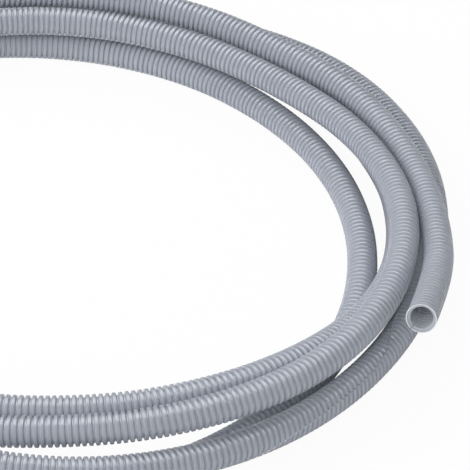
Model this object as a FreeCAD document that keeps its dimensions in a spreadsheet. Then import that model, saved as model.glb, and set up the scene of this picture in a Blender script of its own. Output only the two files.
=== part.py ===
import FreeCAD, Part
import Sketcher
import math
import os
from FreeCAD import Vector

# Split cable sleeve: one coil of slit, corrugated conduit, lying flat as it comes loose.
# Millimetres, +Z up, the floor at z = 0, the coil's middle on the Z axis.

os.makedirs("parts", exist_ok=True)
doc = FreeCAD.newDocument("SplitSleeve")
sheet = doc.addObject("Spreadsheet::Sheet", "Sizes")

sizes = {
    "crestDia": 16.0,       # across the crests of the waves
    "waveDepth": 1.5,       # from a crest down to the valley beside it
    "wavePitch": 3.2,       # from one crest to the next
    "crestShare": 0.54,     # share of the pitch that the crest's flat top takes up
    "valleyShare": 0.2,     # share of the pitch that the valley's floor takes up
    "skin": 0.5,            # wall left between a valley and the bore
    "slitGap": 0.8,         # the slit left by the lengthwise cut
    "stockLength": 5000.0,  # sold by this length
    "stepAngle": 22.5,      # bearing between two points of the route
    "bendShare": 0.45,      # share of the shorter run that a bend takes up
}
for row, (name, value) in enumerate(sizes.items(), start=1):
    sheet.set("A%d" % row, name)
    sheet.set("B%d" % row, "%g" % value)
    sheet.setAlias("B%d" % row, name)
doc.recompute()


def size(name):
    return float(sheet.get(name))


# The sleeve rises out of the coil to its first cut end. From there on, for six bearings in
# degrees: how far it lies out of the coil's middle line and how high, in sleeve diameters.
lead = [(-28.5, 1.85, 2.89), (-15.0, 1.39, 2.05), (-3.0, 0.99, 1.85),
        (9.0, 0.74, 1.66), (21.0, 0.61, 1.59), (33.0, 0.52, 1.69)]

# The turns that follow, every 45 degrees of bearing from 45 degrees on, one line to a turn:
# how far out and how high, in sleeve diameters.
turns = [
    [(0.29, 1.81), (0.51, 2.24), (0.69, 2.47), (0.43, 2.17),
     (-0.02, 2.45), (0.77, 1.78), (0.61, 0.83), (1.14, 0.78)],
    [(2.25, 0.50), (1.40, 0.50), (1.46, 0.50), (1.27, 0.50),
     (0.90, 0.50), (0.46, 0.50), (-0.52, 0.50), (-1.28, 0.54)],
    [(-1.23, 0.50), (-0.35, 0.58), (0.46, 0.80), (0.00, 0.61),
     (-0.56, 1.39), (-0.73, 2.16), (0.44, 2.42), (0.10, 2.07)],
    [(-0.86, 1.59), (-0.41, 1.70), (-0.18, 1.87), (-0.79, 1.73),
     (-1.54, 1.79), (-1.85, 1.98), (-0.70, 1.98), (0.08, 0.63)],
    [(0.74, 0.61)],
]
marks = [mark for turn in turns for mark in turn]
firstSlit = Vector(-0.55, 0, -0.83)  # at the first end the slit faces inwards and down


def between(values, i):
    # the value halfway from i to i + 1, on a smooth curve through its neighbours
    if i == 0 or i + 2 == len(values):
        return (values[i] + values[i + 1]) / 2
    return (9 * (values[i] + values[i + 1]) - values[i - 1] - values[i + 2]) / 16


def windCoil(coilRadius):
    # the route's points, for turns that lie round a middle line of this radius
    dia = size("crestDia")
    step = size("stepAngle")

    def place(bearing, out, high):
        bearing = math.radians(bearing)
        reach = coilRadius + out * dia
        return Vector(reach * math.cos(bearing), reach * math.sin(bearing), max(high, 0.5) * dia)

    outs, highs = zip(*marks)
    points = [place(*mark) for mark in lead]
    for i, (out, high) in enumerate(marks):
        points.append(place(2 * (i + 1) * step, out, high))
        if i + 1 < len(marks):
            points.append(place((2 * i + 3) * step, between(outs, i), between(highs, i)))
    return points


def roundedRoute(corners):
    # straight runs joined by arcs that leave and meet them without a kink
    edges = []
    bends = []
    start = corners[0]
    for a, b, c in zip(corners, corners[1:], corners[2:]):
        back = (a - b).normalize()
        ahead = (c - b).normalize()
        turn = math.pi - back.getAngle(ahead)
        reach = size("bendShare") * min((a - b).Length, (c - b).Length)
        bend = reach / math.tan(turn / 2)
        enter = b + back * reach
        leave = b + ahead * reach
        middle = b + (back + ahead).normalize() * (bend / math.cos(turn / 2) - bend)
        edges.append(Part.LineSegment(start, enter).toShape())
        edges.append(Part.Arc(enter, middle, leave).toShape())
        bends.append(bend)
        start = leave
    edges.append(Part.LineSegment(start, corners[-1]).toShape())
    return edges, bends


# The turns are as wide as the stock length needs.
wound = math.radians(2 * size("stepAngle") * len(marks) - lead[0][0])
coilRadius = size("stockLength") / wound
for attempt in range(6):
    points = windCoil(coilRadius)
    missing = size("stockLength") - sum(edge.Length for edge in roundedRoute(points)[0])
    coilRadius += missing / wound
points = windCoil(coilRadius)

# The footprint's centre goes to the Z axis.
footprint = Part.Wire(roundedRoute(points)[0]).optimalBoundingBox(False, False)
aside = Vector(footprint.Center.x, footprint.Center.y, 0)
points = [point - aside for point in points]
edges, bends = roundedRoute(points)
route = doc.addObject("Part::Feature", "Route")
route.Shape = Part.Wire(edges)
print("turns lie round a middle line of %.3f mm, length %.3f mm" % (coilRadius, route.Shape.Length))
print("bends of %.0f to %.0f mm" % (min(bends), max(bends)))
print("coil moved by %.3f, %.3f to stand over the Z axis" % (-aside.x, -aside.y))

# Neighbouring turns may touch, but never run into each other.
stops = route.Shape.discretize(int(2 * size("stockLength") / size("crestDia")))
apart = int(len(stops) / len(turns) / 2)
nearest = min((a - b).Length for i, a in enumerate(stops) for b in stops[i + apart:])
print("turns at least %.2f mm apart, middle to middle" % nearest)
if nearest < size("crestDia"):
    raise RuntimeError("two turns run into each other")

# The section: a wall round the bore, open at the slit, square to the first run.
firstAlong = (points[1] - points[0]).normalize()
section = doc.addObject("Sketcher::SketchObject", "Section")
section.Placement = FreeCAD.Placement(points[0], FreeCAD.Rotation(firstSlit, Vector(), firstAlong, "ZXY"))
outerRadius = size("crestDia") / 2
innerRadius = outerRadius - size("waveDepth") - size("skin")
half = size("slitGap") / 2
flat = Vector(0, 0, 1)


def openRing(radius):
    # an arc round the middle that leaves the slit open, on the section's +X side
    lean = math.asin(half / radius)
    return Part.ArcOfCircle(Part.Circle(Vector(), flat, radius), lean, 2 * math.pi - lean)


def onRing(radius, side):
    return Vector(math.sqrt(radius ** 2 - half ** 2), side * half, 0)


outer = section.addGeometry(openRing(outerRadius), False)
inner = section.addGeometry(openRing(innerRadius), False)
lips = [section.addGeometry(Part.LineSegment(onRing(innerRadius, side), onRing(outerRadius, side)), False)
        for side in (1, -1)]


def fix(kind, *where):
    return section.addConstraint(Sketcher.Constraint(kind, *where))


# In a sketch's constraints, 1 is a line's start, 2 its end and 3 an arc's centre,
# and -1 is the X axis, with the origin as its start.
fix("Coincident", outer, 3, -1, 1)
fix("Coincident", inner, 3, -1, 1)
fix("Coincident", lips[0], 1, inner, 1)
fix("Coincident", lips[0], 2, outer, 1)
fix("Coincident", lips[1], 1, inner, 2)
fix("Coincident", lips[1], 2, outer, 2)
fix("Horizontal", lips[0])
fix("Horizontal", lips[1])
fix("Symmetric", outer, 1, outer, 2, -1)
crest = fix("Radius", outer, outerRadius)
bore = fix("Radius", inner, innerRadius)
gap = fix("Distance", outer, 1, outer, 2, size("slitGap"))
section.setExpression("Constraints[%d]" % crest, "Sizes.crestDia / 2")
section.setExpression("Constraints[%d]" % bore, "Sizes.crestDia / 2 - Sizes.waveDepth - Sizes.skin")
section.setExpression("Constraints[%d]" % gap, "Sizes.slitGap")
doc.recompute()

plain = doc.addObject("Part::Sweep", "PlainSleeve")
plain.Sections = [section]
plain.Spine = (route, [])
plain.Solid = True
plain.Frenet = False
doc.recompute()

# The waves of the two straight ends. A comb, turned round the sleeve's middle line, cuts
# all the valleys of an end at once; its back and the roots of its teeth clear the crests.
valleyFloor = size("valleyShare") * size("wavePitch")
valleyMouth = (1 - size("crestShare")) * size("wavePitch")
rootClear = size("waveDepth") / 4
flare = (valleyMouth - valleyFloor) / size("waveDepth") * rootClear
toothRoot = valleyMouth + flare


def makeComb(name, mouth, inside, straight):
    along = (inside - mouth).normalize()
    pitch = size("wavePitch")
    low = outerRadius - size("waveDepth")
    root = outerRadius + rootClear
    back = root + size("waveDepth")
    count = int(straight / pitch)
    corners = [(0, back), (0, root)]
    for valley in range(count):
        middle = (valley + 0.5) * pitch
        corners += [(middle - toothRoot / 2, root), (middle - valleyFloor / 2, low),
                    (middle + valleyFloor / 2, low), (middle + toothRoot / 2, root)]
    corners += [(count * pitch, root), (count * pitch, back)]
    corners = [Vector(x, y, 0) for x, y in corners]
    profile = doc.addObject("Sketcher::SketchObject", name + "Teeth")
    profile.Placement = FreeCAD.Placement(mouth, FreeCAD.Rotation(along, Vector(), flat, "XZY"))
    for a, b in zip(corners, corners[1:] + corners[:1]):
        profile.addGeometry(Part.LineSegment(a, b), False)
    comb = doc.addObject("Part::Revolution", name + "Comb")
    comb.Source = profile
    comb.Base = mouth
    comb.Axis = along
    comb.Angle = 360
    comb.Solid = True
    print("%s end straight for %.2f mm, with %d valleys" % (name, straight, count))
    return comb


combs = [makeComb("First", points[0], points[1], edges[0].Length),
         makeComb("Last", points[-1], points[-2], edges[-1].Length)]
sleeve = plain
for comb in combs:
    cut = doc.addObject("Part::Cut", comb.Name.replace("Comb", "Waves"))
    cut.Base = sleeve
    cut.Tool = comb
    sleeve = cut
sleeve.Label = "split_sleeve"
doc.recompute()

for thing in doc.Objects:
    if "Invalid" in thing.State or "Error" in thing.State:
        raise RuntimeError("%s failed: %s" % (thing.Name, thing.State))
for thing in (route, section, plain, *combs, sleeve):
    if thing.Shape.isNull() or not thing.Shape.isValid():
        raise RuntimeError("%s has no sound shape" % thing.Name)
if len(sleeve.Shape.Solids) != 1:
    raise RuntimeError("the sleeve is not one solid")

area = Part.Face(section.Shape.Wires[0]).Area
print("plain sleeve %.0f mm3" % plain.Shape.Volume)
print("its section times its length %.0f mm3" % (area * size("stockLength")))
print("with its waves %.0f mm3" % sleeve.Shape.Volume)
print("first mouth at %s, the sleeve runs on along %s" % (points[0], firstAlong))
print("last mouth at %s" % points[-1])
print("bounds", sleeve.Shape.BoundBox)
sleeve.Shape.exportStep("parts/split_sleeve.step")
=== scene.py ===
import math

import bpy
import numpy as np
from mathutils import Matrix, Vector


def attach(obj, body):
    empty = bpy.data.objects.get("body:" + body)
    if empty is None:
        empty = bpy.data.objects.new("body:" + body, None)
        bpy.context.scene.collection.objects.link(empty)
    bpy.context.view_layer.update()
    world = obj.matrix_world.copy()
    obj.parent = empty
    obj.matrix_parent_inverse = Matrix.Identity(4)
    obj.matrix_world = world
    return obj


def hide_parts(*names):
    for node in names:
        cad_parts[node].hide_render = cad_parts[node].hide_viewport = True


# Looks of a coil of split, corrugated cable sleeve lying on the floor. Metres, +Z up.

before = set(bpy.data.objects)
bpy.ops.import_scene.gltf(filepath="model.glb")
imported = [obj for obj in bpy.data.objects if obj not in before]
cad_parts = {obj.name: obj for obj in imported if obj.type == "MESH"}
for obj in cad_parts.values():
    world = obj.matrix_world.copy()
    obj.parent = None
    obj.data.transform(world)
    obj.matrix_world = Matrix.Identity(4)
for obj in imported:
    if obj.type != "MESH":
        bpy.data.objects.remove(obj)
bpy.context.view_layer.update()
print("frame loaded")


def newMaterial(name):
    material = bpy.data.materials.new(name)
    material.use_nodes = True
    nodes = material.node_tree.nodes
    nodes.clear()
    output = nodes.new("ShaderNodeOutputMaterial")
    return material, nodes, material.node_tree.links, output


greyPlastic = {
    "light": (0.41, 0.435, 0.49, 1),    # the colour where it is cleanest
    "dark": (0.365, 0.385, 0.435, 1),   # and where the pigment lies thicker
    "valley": (0.52, 0.545, 0.6, 1),    # painted light: the valleys are coloured lighter, filling the shade that falls in the grooves
    "cut": (0.8, 0.82, 0.87, 1),        # painted highlight: the cut faces are coloured pale, for the light the cut rim catches
    "shine": 0.7,
    "smoothest": 0.14,                  # roughness of the glossiest patches
    "roughest": 0.28,                   # and of the dullest ones
    "glow": 0.5,                        # share of the light that goes into the plastic
    "glowDepth": 0.0015,                # how far it gets in there
    "patches": 26,                      # cloudy patches to a metre
    "patchDetail": 4,
    "grains": 2600,                     # grains to a metre
    "grainDetail": 2,
    "grainHeight": 0.0002,
    "grainShown": 0.06,                 # share of that height that shows
}


def makeGreyPlastic(look):
    material, nodes, links, output = newMaterial("mouldedGreyPlastic")
    place = nodes.new("ShaderNodeTexCoord")

    def noise(scale, detail):
        pattern = nodes.new("ShaderNodeTexNoise")
        pattern.inputs["Scale"].default_value = scale
        pattern.inputs["Detail"].default_value = detail
        links.new(place.outputs["Object"], pattern.inputs["Vector"])
        return pattern.outputs["Fac"]

    def lay(colour, below, attribute):
        # this colour over the one below, as far as the mesh's attribute says
        share = nodes.new("ShaderNodeAttribute")
        share.attribute_name = attribute
        mixed = nodes.new("ShaderNodeMix")
        mixed.data_type = "RGBA"
        mixed.inputs["B"].default_value = colour
        links.new(share.outputs["Fac"], mixed.inputs["Factor"])
        links.new(below, mixed.inputs["A"])
        return mixed.outputs["Result"]

    shader = nodes.new("ShaderNodeBsdfPrincipled")
    shader.inputs["Specular IOR Level"].default_value = look["shine"]
    shader.inputs["Subsurface Weight"].default_value = look["glow"]
    shader.inputs["Subsurface Radius"].default_value = (1, 1, 1)
    shader.inputs["Subsurface Scale"].default_value = look["glowDepth"]
    links.new(shader.outputs["BSDF"], output.inputs["Surface"])

    clouds = noise(look["patches"], look["patchDetail"])
    tint = nodes.new("ShaderNodeMix")
    tint.data_type = "RGBA"
    tint.inputs["A"].default_value = look["dark"]
    tint.inputs["B"].default_value = look["light"]
    links.new(clouds, tint.inputs["Factor"])
    # painted light lightens the valleys, and a painted highlight whitens the cut faces
    colour = lay(look["valley"], tint.outputs["Result"], "paintedValleyLight")
    colour = lay(look["cut"], colour, "paintedCutGlint")
    links.new(colour, shader.inputs["Base Color"])

    gloss = nodes.new("ShaderNodeMapRange")
    gloss.inputs["To Min"].default_value = look["smoothest"]
    gloss.inputs["To Max"].default_value = look["roughest"]
    links.new(clouds, gloss.inputs["Value"])
    links.new(gloss.outputs["Result"], shader.inputs["Roughness"])

    bump = nodes.new("ShaderNodeBump")
    bump.inputs["Strength"].default_value = look["grainShown"]
    bump.inputs["Distance"].default_value = look["grainHeight"]
    links.new(noise(look["grains"], look["grainDetail"]), bump.inputs["Height"])
    links.new(bump.outputs["Normal"], shader.inputs["Normal"])
    return material


# the line that the middle of the sleeve follows
coil = {
    "diameter": 0.016,                # of the sleeve, over its crests
    "middleRadius": 0.190006,         # the middle line that the turns lie round
    "moved": (0.000293, -0.005860),   # to stand over the Z axis
    "step": 22.5,                     # bearing between two points of the line
    "lowest": 0.5,                    # where the sleeve lies on the floor, in its diameters
    "fineness": 64,                   # points read off between two of the line's points
    # the rise to the first cut end: bearing, how far out and how high, the last two in
    # sleeve diameters
    "lead": [(-28.5, 1.85, 2.89), (-15.0, 1.39, 2.05), (-3.0, 0.99, 1.85),
             (9.0, 0.74, 1.66), (21.0, 0.61, 1.59), (33.0, 0.52, 1.69)],
    # the turns, every 45 degrees from 45 degrees on: how far out and how high
    "turns": [
        [(0.29, 1.81), (0.51, 2.24), (0.69, 2.47), (0.43, 2.17),
         (-0.02, 2.45), (0.77, 1.78), (0.61, 0.83), (1.14, 0.78)],
        [(2.25, 0.50), (1.40, 0.50), (1.46, 0.50), (1.27, 0.50),
         (0.90, 0.50), (0.46, 0.50), (-0.52, 0.50), (-1.28, 0.54)],
        [(-1.23, 0.50), (-0.35, 0.58), (0.46, 0.80), (0.00, 0.61),
         (-0.56, 1.39), (-0.73, 2.16), (0.44, 2.42), (0.10, 2.07)],
        [(-0.86, 1.59), (-0.41, 1.70), (-0.18, 1.87), (-0.79, 1.73),
         (-1.54, 1.79), (-1.85, 1.98), (-0.70, 1.98), (0.08, 0.63)],
        [(0.74, 0.61)],
    ],
}


def between(values, i):
    # the value halfway from i to i + 1, on a smooth curve through its neighbours
    if i == 0 or i + 2 == len(values):
        return (values[i] + values[i + 1]) / 2
    return (9 * (values[i] + values[i + 1]) - values[i - 1] - values[i + 2]) / 16


def coilPoint(bearing, out, high):
    bearing = math.radians(bearing)
    reach = coil["middleRadius"] + out * coil["diameter"]
    return np.array((reach * math.cos(bearing) + coil["moved"][0],
                     reach * math.sin(bearing) + coil["moved"][1],
                     max(high, coil["lowest"]) * coil["diameter"]))


def coilPoints():
    marks = [mark for turn in coil["turns"] for mark in turn]
    outs, highs = zip(*marks)
    step = coil["step"]
    points = [coilPoint(*mark) for mark in coil["lead"]]
    for i, (out, high) in enumerate(marks):
        points.append(coilPoint(2 * (i + 1) * step, out, high))
        if i + 1 < len(marks):
            points.append(coilPoint((2 * i + 3) * step, between(outs, i), between(highs, i)))
    return points


def readMiddleLine(points):
    # the smooth line through the coil, as the points of a curve with no thickness
    data = bpy.data.curves.new("middleLine", "CURVE")
    data.dimensions = "3D"
    data.resolution_u = coil["fineness"]
    spline = data.splines.new("NURBS")
    spline.points.add(len(points) - 1)
    for knot, point in zip(spline.points, points):
        knot.co = (*point, 1)
    spline.order_u = 3
    spline.use_endpoint_u = True
    holder = bpy.data.objects.new("middleLine", data)
    bpy.context.scene.collection.objects.link(holder)
    bpy.context.view_layer.update()
    finished = holder.evaluated_get(bpy.context.evaluated_depsgraph_get())
    mesh = bpy.data.meshes.new_from_object(finished)
    line = np.array([vertex.co for vertex in mesh.vertices])
    bpy.data.objects.remove(holder)
    bpy.data.meshes.remove(mesh)
    return line


sleeve = {
    "crest": 0.008,          # radius over the crests
    "depth": 0.0015,         # from a crest down to the valley
    "wall": 0.0005,          # thickness of the plastic
    "gap": 0.0003,           # width of the slit inside the coil, on average
    "gapChange": 0.0001,     # how much it opens and closes along the sleeve
    "gapSwings": (31, 9),    # two swings that it does so in, in radians to a metre
    "gapStart": 1,           # where the slower swing starts, in radians
    "endGap": 0.0008,        # width of the slit at a cut end, where it springs open
    "gapFade": 0.05,         # it has closed this far from the cut end
    "waves": 1562,
    "drift": 0.0065,         # how far the waves run ahead of an even spacing, and behind it
    "around": 24,            # faces round the sleeve
    "stretches": 5,          # the mesh is made in this many lengths
    "innerWaves": 9,         # waves that show on the inside, from each cut end
    "innerPaintedLight": 0.7,       # how much of the painted valley light the ridges inside get
    "sharpFrom": 50,         # degrees of an edge that stays sharp
    # one wave, from the middle of its crest: share of the pitch, share of the depth
    "profile": [(0.0, 0.0), (0.21, 0.01), (0.26, 0.07), (0.31, 0.3), (0.36, 0.75), (0.42, 1.0),
                (0.58, 1.0), (0.64, 0.75), (0.69, 0.3), (0.74, 0.07), (0.79, 0.01)],
    "slip": 0.5,             # at the slit, one side's waves are this part of a wave ahead
    "slipReach": 0.18,       # share of the way round that leans for it, on each side
    "slipFade": 0.03,        # at the cut ends the sides are level again over this length
    # the side that the slit is on: distance along the sleeve, and degrees up from outwards
    "slitSide": [(0.0, -124), (1.03, -124), (1.13, -50), (1.15, -8), (1.16, 10), (1.18, 27),
                 (1.2, 36), (1.22, 44), (1.235, 62), (1.25, 100), (1.33, 228), (1.4, 236),
                 (6.0, 236)],
}


def unit(vectors):
    return vectors / np.linalg.norm(vectors, axis=-1, keepdims=True)


def alongLine(line):
    # the line's length, and a way to read its places by the distance along it
    samePoint = 1e-7
    steps = np.linalg.norm(np.diff(line, axis=0), axis=1)
    line = line[np.concatenate([[True], steps > samePoint])]
    steps = np.linalg.norm(np.diff(line, axis=0), axis=1)
    walked = np.concatenate([[0], np.cumsum(steps)])

    def place(distance):
        return np.stack([np.interp(distance, walked, line[:, k]) for k in range(3)], axis=-1)
    return walked[-1], place


def onSleeve(distance, angle, radius, length, place):
    # points of the surface at these distances, angles from the slit and radii
    reach = sleeve["crest"] / 2   # the way ahead is read over this much on each side
    before = place(np.maximum(distance - reach, 0))
    ahead = unit(place(np.minimum(distance + reach, length)) - before)
    middle = place(distance)
    outward = middle * (1, 1, 0)
    outward = unit(outward - (outward * ahead).sum(-1, keepdims=True) * ahead)
    up = np.cross(outward, ahead)
    turned = np.radians(np.interp(distance, *zip(*sleeve["slitSide"]))) + angle
    across = outward * np.cos(turned)[..., None] + up * np.sin(turned)[..., None]
    return middle + across * radius[..., None]


def slitWidth(distance, fromEnd):
    fast, slow = sleeve["gapSwings"]
    wide = np.interp(fromEnd, [0, sleeve["gapFade"]], [sleeve["endGap"], sleeve["gap"]])
    swing = np.sin(distance * fast) * np.sin(distance * slow + sleeve["gapStart"])
    return wide[:, None] + sleeve["gapChange"] * swing


def ringRows(distance, radius, length, place):
    # rings of points round the sleeve, open at the slit
    pitch = length / sleeve["waves"]
    share = np.linspace(0, 1, sleeve["around"] + 1)
    fromEnd = np.minimum(distance, length - distance)
    slip = sleeve["slip"] * pitch * np.clip(fromEnd / sleeve["slipFade"], 0, 1)
    reach = sleeve["slipReach"]
    lean = np.interp(share, [0, reach, 1 - reach, 1], [-0.5, 0, 0, 0.5])
    distance = distance[:, None] + slip[:, None] * lean
    radius = np.broadcast_to(radius[:, None], distance.shape)
    half = np.arcsin(slitWidth(distance, fromEnd) / 2 / radius)
    angle = half + (2 * math.pi - 2 * half) * share
    return onSleeve(distance, angle, radius, length, place)


def drifted(even):
    turned = even / coil["middleRadius"] + math.radians(coil["lead"][0][0])
    return even + sleeve["drift"] * np.cos(turned)


def spaced(even, length):
    # the waves lie a little wider at the coil's front than at its back
    ends = np.array([0, length])
    return drifted(even) - np.interp(even, ends, drifted(ends) - ends)


def numbered(rings, start):
    # the numbers of these rings' points in the mesh, from this number on
    return start + np.arange(rings.shape[0] * rings.shape[1]).reshape(rings.shape[:2])


def quads(a, b, c, d):
    return np.stack([a, b, c, d], axis=-1).reshape(-1, 4).tolist()


def makeStretch(number, length, place, plastic):
    waves, around = sleeve["waves"], sleeve["around"]
    pitch = length / waves
    share, drop = zip(*sleeve["profile"])
    perWave = len(share)
    first = waves * number // sleeve["stretches"]
    last = waves * (number + 1) // sleeve["stretches"]
    count = last - first

    distance = ((first + np.arange(count))[:, None] + np.array(share)).ravel() * pitch
    distance = spaced(np.append(distance, last * pitch), length)
    drops = np.append(np.tile(drop, count), drop[0])
    outerRadius = sleeve["crest"] - sleeve["depth"] * drops
    bore = sleeve["crest"] - sleeve["depth"] - sleeve["wall"]

    # inside, the waves show near the cut ends; further in one ring to a wave is enough
    ring = np.arange(len(distance))
    wave = first + ring // perWave
    nearEnd = np.minimum(wave, waves - wave) < sleeve["innerWaves"]
    nearEnd[-1] = nearEnd[-2]
    kept = np.flatnonzero(nearEnd | (ring % perWave == 0))
    innerRadius = np.where(nearEnd, outerRadius - sleeve["wall"], bore)[kept]

    outer = ringRows(distance, outerRadius, length, place)
    inner = ringRows(distance[kept], innerRadius, length, place)
    points = np.concatenate([outer.reshape(-1, 3), inner.reshape(-1, 3)])
    outerId = numbered(outer, 0)
    innerId = numbered(inner, outerId.size)

    faces = quads(outerId[:-1, :-1], outerId[1:, :-1], outerId[1:, 1:], outerId[:-1, 1:])
    faces += quads(innerId[:-1, :-1], innerId[:-1, 1:], innerId[1:, 1:], innerId[1:, :-1])
    cutFaces = [False] * len(faces)
    # the two ends of the stretch; only the sleeve's own ends show a cut
    faces += quads(outerId[0, :-1], outerId[0, 1:], innerId[0, 1:], innerId[0, :-1])
    faces += quads(outerId[-1, :-1], innerId[-1, :-1], innerId[-1, 1:], outerId[-1, 1:])
    cutFaces += [number == 0] * around + [last == waves] * around
    # the two lips of the slit
    for k, (a, b) in enumerate(zip(kept, kept[1:])):
        rim = outerId[a:b + 1]
        faces.append([innerId[k, 0], innerId[k + 1, 0], *rim[::-1, 0].tolist()])
        faces.append([innerId[k, -1], *rim[:, -1].tolist(), innerId[k + 1, -1]])
        cutFaces += [True, True]

    mesh = bpy.data.meshes.new("splitSleeve%d" % (number + 1))
    mesh.from_pydata(points, [], faces)
    mesh.polygons.foreach_set("use_smooth", [True] * len(mesh.polygons))
    mesh.set_sharp_from_angle(angle=math.radians(sleeve["sharpFrom"]))
    # painted light: the valleys outside, and less of it on the ridges inside, get the lighter
    # valley colour
    depth = mesh.attributes.new("paintedValleyLight", "FLOAT", "POINT")
    paintedLight = np.concatenate([drops, sleeve["innerPaintedLight"] * drops[kept]])
    depth.data.foreach_set("value", np.repeat(paintedLight, around + 1))
    # painted highlight on the cut faces
    glintShare = mesh.attributes.new("paintedCutGlint", "FLOAT", "FACE")
    glintShare.data.foreach_set("value", cutFaces)
    mesh.materials.append(plastic)
    piece = bpy.data.objects.new("splitSleeve%d" % (number + 1), mesh)
    bpy.context.scene.collection.objects.link(piece)

    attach(piece, "root")
    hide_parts("split_sleeve")
    path = place(distance[::perWave])
    return piece


middleLine = readMiddleLine(coilPoints())
length, place = alongLine(middleLine)
print("the sleeve's middle line is %.4f m long" % length)
plastic = makeGreyPlastic(greyPlastic)
stretches = [makeStretch(number, length, place, plastic)
             for number in range(sleeve["stretches"])]
print("sleeve made, %d faces" % sum(len(piece.data.polygons) for piece in stretches))


studio = {
    "floorSize": 12,
    "floorColour": (0.9, 0.9, 0.9, 1),
    "floorShown": 0.95,              # share of plain white that the camera sees on the floor
    "white": (1, 1, 1, 1),
    "worldColour": (0.97, 0.98, 1.0, 1),
    "worldStrength": 0.25,
    "screenStrength": 4.8,
    # where the screen begins and where it is full, as shares of a direction
    "screenBack": (-0.04, 0.08),
    "screenUp": (0.55, 0.75),
}


def makeFloor():
    side = studio["floorSize"] / 2
    corners = [(-side, -side, 0), (side, -side, 0), (side, side, 0), (-side, side, 0)]
    mesh = bpy.data.meshes.new("floor")
    mesh.from_pydata(corners, [], [(0, 1, 2, 3)])
    floor = bpy.data.objects.new("floor", mesh)
    bpy.context.scene.collection.objects.link(floor)

    # the camera sees the floor nearly white, and the shadows on it
    material, nodes, links, output = newMaterial("paleFloor")
    paint = nodes.new("ShaderNodeBsdfDiffuse")
    paint.inputs["Color"].default_value = studio["floorColour"]
    shown = nodes.new("ShaderNodeEmission")
    shown.inputs["Color"].default_value = studio["white"]
    mixed = nodes.new("ShaderNodeMixShader")
    rays = nodes.new("ShaderNodeLightPath")
    seen = nodes.new("ShaderNodeMath")
    seen.operation = "MULTIPLY"
    seen.inputs[1].default_value = studio["floorShown"]
    links.new(rays.outputs["Is Camera Ray"], seen.inputs[0])
    links.new(seen.outputs["Value"], mixed.inputs["Fac"])
    links.new(paint.outputs["BSDF"], mixed.inputs[1])
    links.new(shown.outputs["Emission"], mixed.inputs[2])
    links.new(mixed.outputs["Shader"], output.inputs["Surface"])
    mesh.materials.append(material)


def makeWorld():
    world = bpy.data.worlds.new("studio")
    world.use_nodes = True
    nodes, links = world.node_tree.nodes, world.node_tree.links
    nodes.clear()

    def plain(colour, strength):
        light = nodes.new("ShaderNodeBackground")
        light.inputs["Color"].default_value = colour
        light.inputs["Strength"].default_value = strength
        return light.outputs["Background"]

    def mix(share, below, above):
        mixed = nodes.new("ShaderNodeMixShader")
        links.new(share, mixed.inputs["Fac"])
        links.new(below, mixed.inputs[1])
        links.new(above, mixed.inputs[2])
        return mixed.outputs["Shader"]

    def ramp(value, low, high):
        steps = nodes.new("ShaderNodeMapRange")
        steps.inputs["From Min"].default_value = low
        steps.inputs["From Max"].default_value = high
        links.new(value, steps.inputs["Value"])
        return steps.outputs["Result"]

    # only shines see it: a big white screen that stands behind the coil and leans over it
    place = nodes.new("ShaderNodeTexCoord")
    parts = nodes.new("ShaderNodeSeparateXYZ")
    links.new(place.outputs["Generated"], parts.inputs["Vector"])
    screen = nodes.new("ShaderNodeMath")
    screen.operation = "MULTIPLY"
    links.new(ramp(parts.outputs["Y"], *studio["screenBack"]), screen.inputs[0])
    links.new(ramp(parts.outputs["Z"], *studio["screenUp"]), screen.inputs[1])
    room = plain(studio["worldColour"], studio["worldStrength"])
    bright = plain(studio["worldColour"], studio["screenStrength"])
    shine = mix(screen.outputs["Value"], room, bright)

    # the camera sees plain white behind the coil
    rays = nodes.new("ShaderNodeLightPath")
    lit = mix(rays.outputs["Is Glossy Ray"], room, shine)
    seen = mix(rays.outputs["Is Camera Ray"], lit, plain(studio["white"], 1))
    output = nodes.new("ShaderNodeOutputWorld")
    links.new(seen, output.inputs["Surface"])
    bpy.context.scene.world = world


lamps = [
    # name, place, aimed at, size, watts
    ("front", (-1.5, -4.8, 4.2), (0.0, 0.0, 0), 3.6, 200),
    ("left", (-1.5, -0.2, 1.1), (0.0, 0.1, 0), 1.2, 18),
    ("right", (2.0, -0.6, 1.1), (0.1, 0.0, 0), 1.2, 5),
    ("back", (0.1, 1.6, 1.3), (0.1, 0.0, 0), 1.2, 15),
]


def makeLamp(name, place, aim, side, power):
    data = bpy.data.lights.new(name, "AREA")
    data.shape = "SQUARE"
    data.size = side
    data.energy = power
    lamp = bpy.data.objects.new(name, data)
    lamp.location = place
    ahead = Vector(aim) - Vector(place)
    lamp.rotation_euler = ahead.to_track_quat("-Z", "Y").to_euler()
    lamp.visible_glossy = False   # the screen alone makes the shines
    bpy.context.scene.collection.objects.link(lamp)


# the camera looks along +Y and down, as the photograph does
view = {
    "aim": (0.09989, 0.00190, 0.00967),
    "elevation": 38.76,   # degrees
    "distance": 1.8782,
    "lens": 270.1,        # millimetres
    "sensor": 36,
}


def makeCamera():
    data = bpy.data.cameras.new("camera")
    data.lens = view["lens"]
    data.sensor_width = view["sensor"]
    camera = bpy.data.objects.new("camera", data)
    slope = math.radians(view["elevation"])
    back = Vector((0, -math.cos(slope), math.sin(slope)))
    camera.location = Vector(view["aim"]) + back * view["distance"]
    camera.rotation_euler = (math.pi / 2 - slope, 0, 0)
    bpy.context.scene.collection.objects.link(camera)
    bpy.context.scene.camera = camera


makeFloor()
makeWorld()
for lamp in lamps:
    makeLamp(*lamp)
makeCamera()
bpy.context.scene.view_settings.view_transform = "Standard"
print("floor, lamps and camera made")
